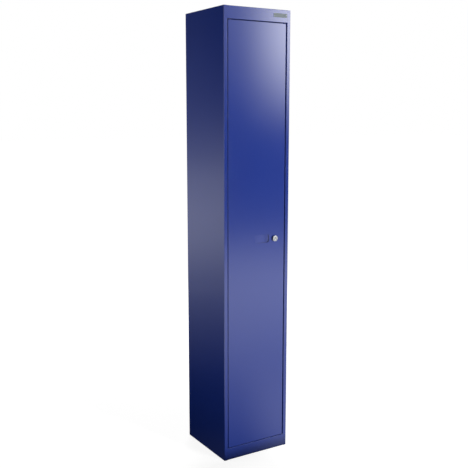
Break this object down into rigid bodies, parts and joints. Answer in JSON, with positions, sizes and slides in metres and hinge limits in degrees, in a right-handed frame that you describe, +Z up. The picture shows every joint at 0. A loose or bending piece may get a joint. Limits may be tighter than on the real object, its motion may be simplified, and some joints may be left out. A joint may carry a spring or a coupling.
{
  "type": "metal locker",
  "caption": "Tall narrow steel locker with a flush hinged door, cam lock, pressed finger pull, hat shelf and a coat rail with a sliding hook.",
  "frame": {"origin": "floor level, under the middle of the cabinet", "axes": "+Z up, the door faces -Y, the hinge is on -X and the lock on +X"},
  "size_m": [0.305, 0.313, 1.802],
  "materials": {
    "blue_powder_coat": "satin powder coat",
    "lock_chrome": "polished",
    "rail_chrome": "polished",
    "zinc_plate": "zinc plated",
    "black_nylon": "moulded",
    "grey_rubber": "matt"
  },
  "bodies": {
    "carcass": {"left_side_panel": "blue_powder_coat", "right_side_panel": "blue_powder_coat", "back_panel": "blue_powder_coat", "top_panel": "blue_powder_coat", "base_panel": "blue_powder_coat", "hat_shelf": "blue_powder_coat", "coat_rail": "rail_chrome", "left_rail_socket": "black_nylon", "right_rail_socket": "black_nylon", "upper_pivot_pin": "zinc_plate", "lower_pivot_pin": "zinc_plate", "lower_door_buffer": "grey_rubber", "middle_door_buffer": "grey_rubber", "upper_door_buffer": "grey_rubber"},
    "door": {"door_skin": "blue_powder_coat", "door_stiffener": "blue_powder_coat", "upper_pivot_bush": "black_nylon", "lower_pivot_bush": "black_nylon", "upper_pivot_plate": "zinc_plate", "lower_pivot_plate": "zinc_plate", "lock_body": "lock_chrome", "lock_nut": "zinc_plate"},
    "lock_cylinder": {"lock_plug": "lock_chrome", "lock_cam": "zinc_plate", "cam_screw": "zinc_plate"},
    "hook": {"coat_hook": "zinc_plate"}
  },
  "joints": [
    {"name": "door_hinge", "type": "hinge", "parent": "carcass", "child": "door", "pos_m": [-0.125, -0.1455, 0.9], "axis": [0, 0, -1], "range_deg": [0, 110]},
    {"name": "lock_turn", "type": "hinge", "parent": "door", "child": "lock_cylinder", "pos_m": [0.084, -0.1525, 0.903], "axis": [0, -1, 0], "range_deg": [0, 90]},
    {"name": "hook_slide", "type": "slide", "parent": "carcass", "child": "hook", "axis": [1, 0, 0], "range_m": [-0.13, 0.13]}
  ]
}
